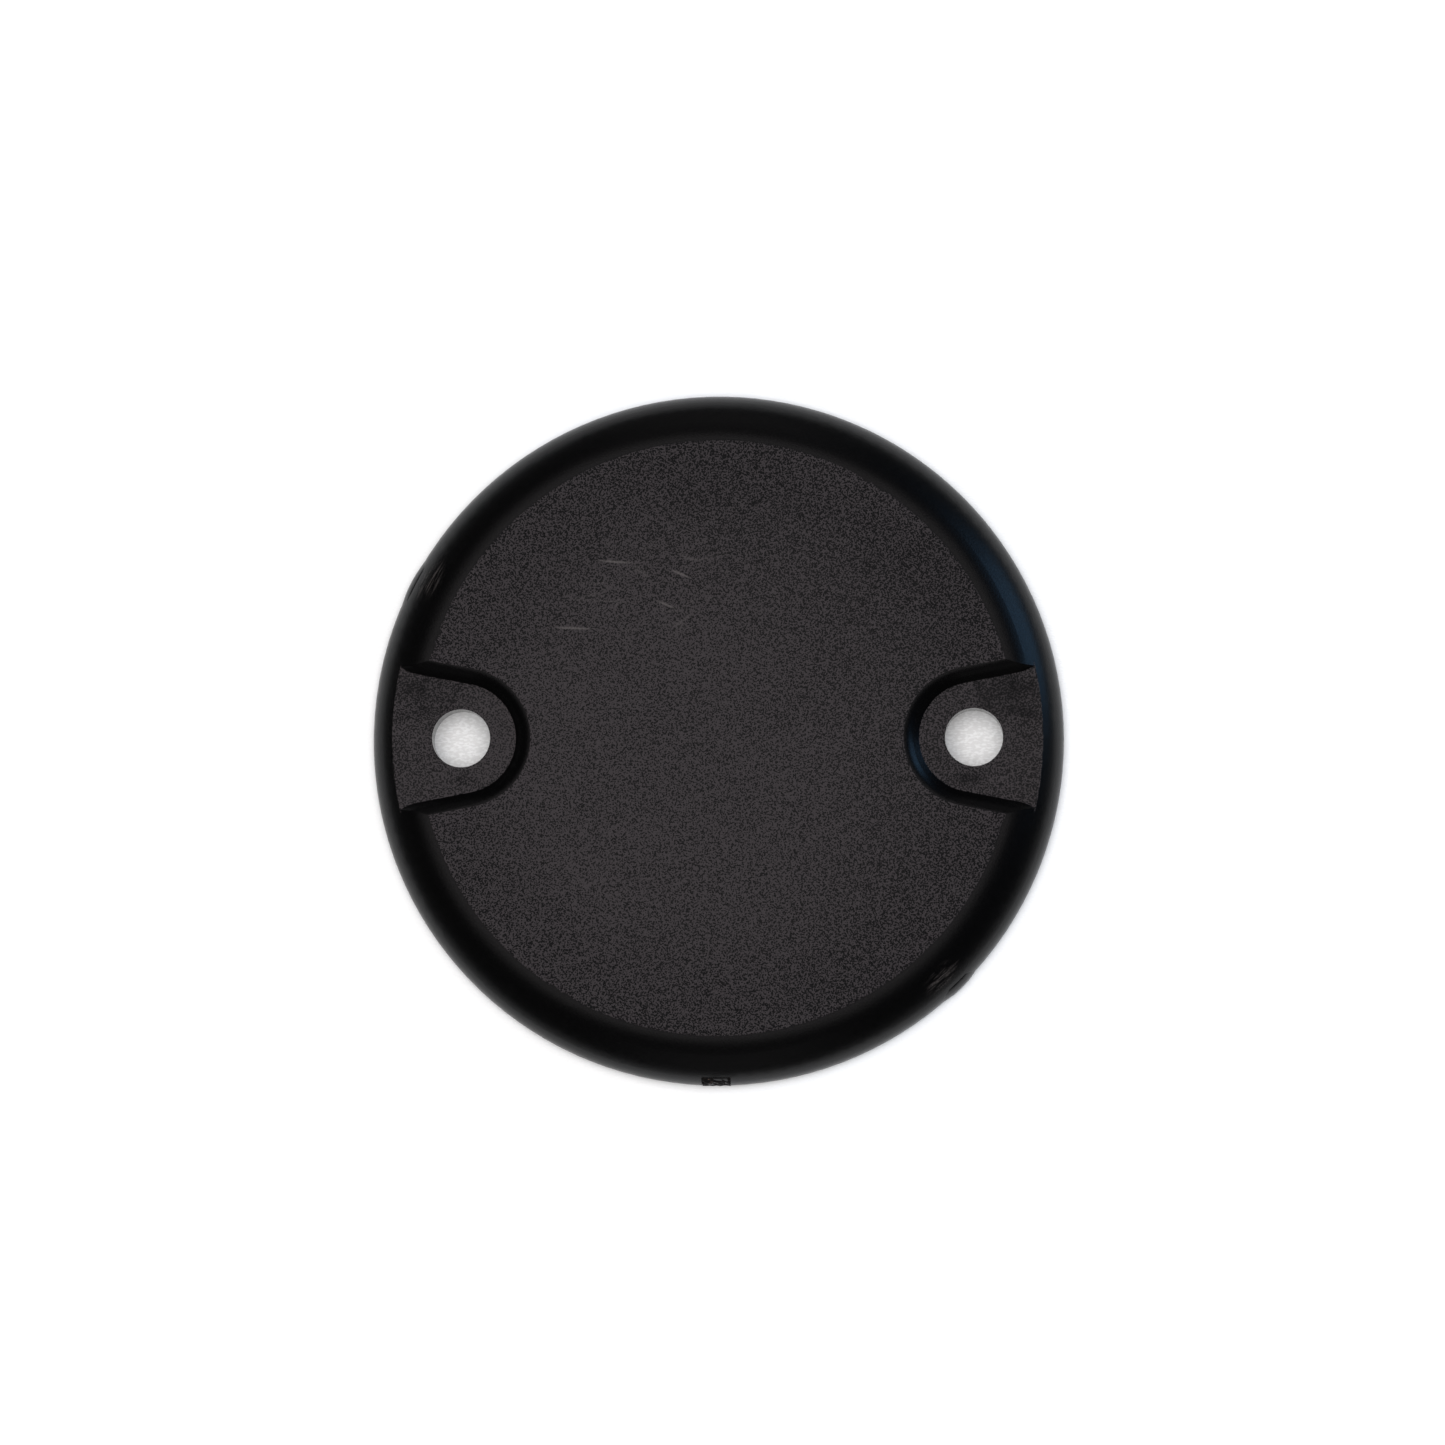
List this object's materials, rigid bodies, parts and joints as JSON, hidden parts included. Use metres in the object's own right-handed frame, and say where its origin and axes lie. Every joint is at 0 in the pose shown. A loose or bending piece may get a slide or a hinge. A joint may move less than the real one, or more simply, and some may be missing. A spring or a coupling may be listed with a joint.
{
  "type": "screw-on disc tag",
  "caption": "Thin round plastic disc tag with a rounded rim, a flat textured face and relieved screw holes on one diameter, holding a sealed coil and chip.",
  "frame": {"origin": "middle of the back, in the plane that the tag rests on", "axes": "+Z out of the face, +X along the line of the two screw holes, the moulding gate at -Y"},
  "size_m": [0.05, 0.05, 0.0032],
  "materials": {
    "shell_plastic": "matte",
    "back_plastic": "matte",
    "seam_glue": "gloss",
    "ferrite": "matte",
    "adhesive_film": "satin",
    "board_laminate": "satin",
    "etched_copper": "satin",
    "gold_plate": "polished",
    "die_glue": "satin",
    "silicon": "gloss",
    "gold_wire": "polished",
    "glob_resin": "satin",
    "capacitor_ceramic": "satin",
    "tin": "satin",
    "solder": "polished",
    "potting": "satin"
  },
  "bodies": {
    "root": {"front_cover": "shell_plastic", "back_cover": "back_plastic", "seam_adhesive": "seam_glue", "ferrite_adhesive": "adhesive_film", "ferrite_sheet": "ferrite", "board_adhesive": "adhesive_film", "back_coil": "etched_copper", "circuit_board": "board_laminate", "front_coil": "etched_copper", "return_track": "etched_copper", "board_vias": "etched_copper", "die_pad": "gold_plate", "die_adhesive": "die_glue", "tag_chip": "silicon", "bond_wires": "gold_wire", "tuning_capacitor": "capacitor_ceramic", "capacitor_terminals": "tin", "solder_joints": "solder", "glob_top": "glob_resin", "potting_resin": "potting"}
  },
  "joints": []
}
